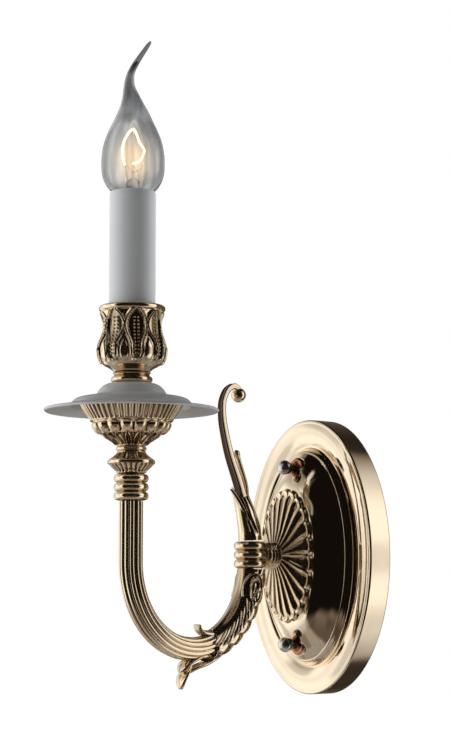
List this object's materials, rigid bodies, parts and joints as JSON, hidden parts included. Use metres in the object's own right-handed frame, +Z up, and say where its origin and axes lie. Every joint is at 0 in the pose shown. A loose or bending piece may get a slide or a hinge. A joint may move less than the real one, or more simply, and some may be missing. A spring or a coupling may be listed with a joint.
{
  "type": "electric candle wall sconce",
  "caption": "One-arm wall light: oval domed backplate with shell rosette, reeded J arm, scroll, drip pan, tulip cup, candle sleeve and bent-tip bulb.",
  "frame": {"origin": "centre of the backplate's back, on the wall plane", "axes": "+Y into the wall, -Y along the arm towards the room, +Z up, +X to the right facing the wall"},
  "size_m": [0.106, 0.1935, 0.3637],
  "materials": {
    "french_gold": "polished and lacquered pale gold",
    "polished_nickel": "polished",
    "zinc_steel": "zinc plated",
    "plain_brass": "bright",
    "spring_bronze": "bright",
    "solder": "dull solder",
    "white_enamel": "matt",
    "white_sleeve": "matt",
    "lampholder_body": "unglazed",
    "clear_glass": "clear",
    "lit_filament": "glowing tungsten",
    "lead_insulation": "satin",
    "terminal_plastic": "moulded"
  },
  "bodies": {
    "fixture": {"backplate": "french_gold", "shell_rosette": "french_gold", "boss_collar": "french_gold", "arm_hub": "french_gold", "scroll": "french_gold", "scroll_leaf": "french_gold", "lower_arm": "french_gold", "arm_leaf": "french_gold", "leaf_tip": "french_gold", "ring_collar": "french_gold", "knop": "french_gold", "bowl_collar": "french_gold", "bowl": "french_gold", "cup_foot": "french_gold", "tulip_cup": "french_gold", "upper_nut_seat": "french_gold", "lower_nut_seat": "french_gold", "wall_bracket": "zinc_steel", "upper_stud": "zinc_steel", "lower_stud": "zinc_steel", "upper_stud_nut": "zinc_steel", "lower_stud_nut": "zinc_steel", "arm_nipple": "zinc_steel", "arm_lock_washer": "zinc_steel", "arm_lock_nut": "zinc_steel", "candle_nipple": "zinc_steel", "candle_lock_nut": "zinc_steel", "holder_stem": "zinc_steel", "drip_pan": "white_enamel", "candle_sleeve": "white_sleeve", "lampholder": "lampholder_body", "socket_shell": "plain_brass", "earth_screw": "plain_brass", "socket_contact": "spring_bronze", "supply_lead": "lead_insulation", "terminal_block": "terminal_plastic"},
    "bulb_base": {"bulb_contact": "solder"},
    "bulb": {"bulb_glass": "clear_glass", "bulb_cap": "zinc_steel", "bulb_stem": "clear_glass", "bulb_filament": "lit_filament"},
    "upper_nut": {"upper_cap_nut": "polished_nickel"},
    "lower_nut": {"lower_cap_nut": "polished_nickel"}
  },
  "joints": [
    {"name": "bulb_lift", "type": "slide", "parent": "fixture", "child": "bulb_base", "axis": [0, 0, 1], "range_m": [0, 0.0142]},
    {"name": "bulb_turn", "type": "hinge", "parent": "bulb_base", "child": "bulb", "pos_m": [0, -0.1455, 0.18], "axis": [0, 0, 1], "range_deg": [0, 1800]},
    {"name": "upper_nut_off", "type": "slide", "parent": "fixture", "child": "upper_nut", "axis": [0, -1, 0], "range_m": [0, 0.009]},
    {"name": "lower_nut_off", "type": "slide", "parent": "fixture", "child": "lower_nut", "axis": [0, -1, 0], "range_m": [0, 0.009]}
  ],
  "couplings": [
    {"joint": "bulb_lift", "follows": "bulb_turn", "m_per_rad": 0.00044882}
  ]
}
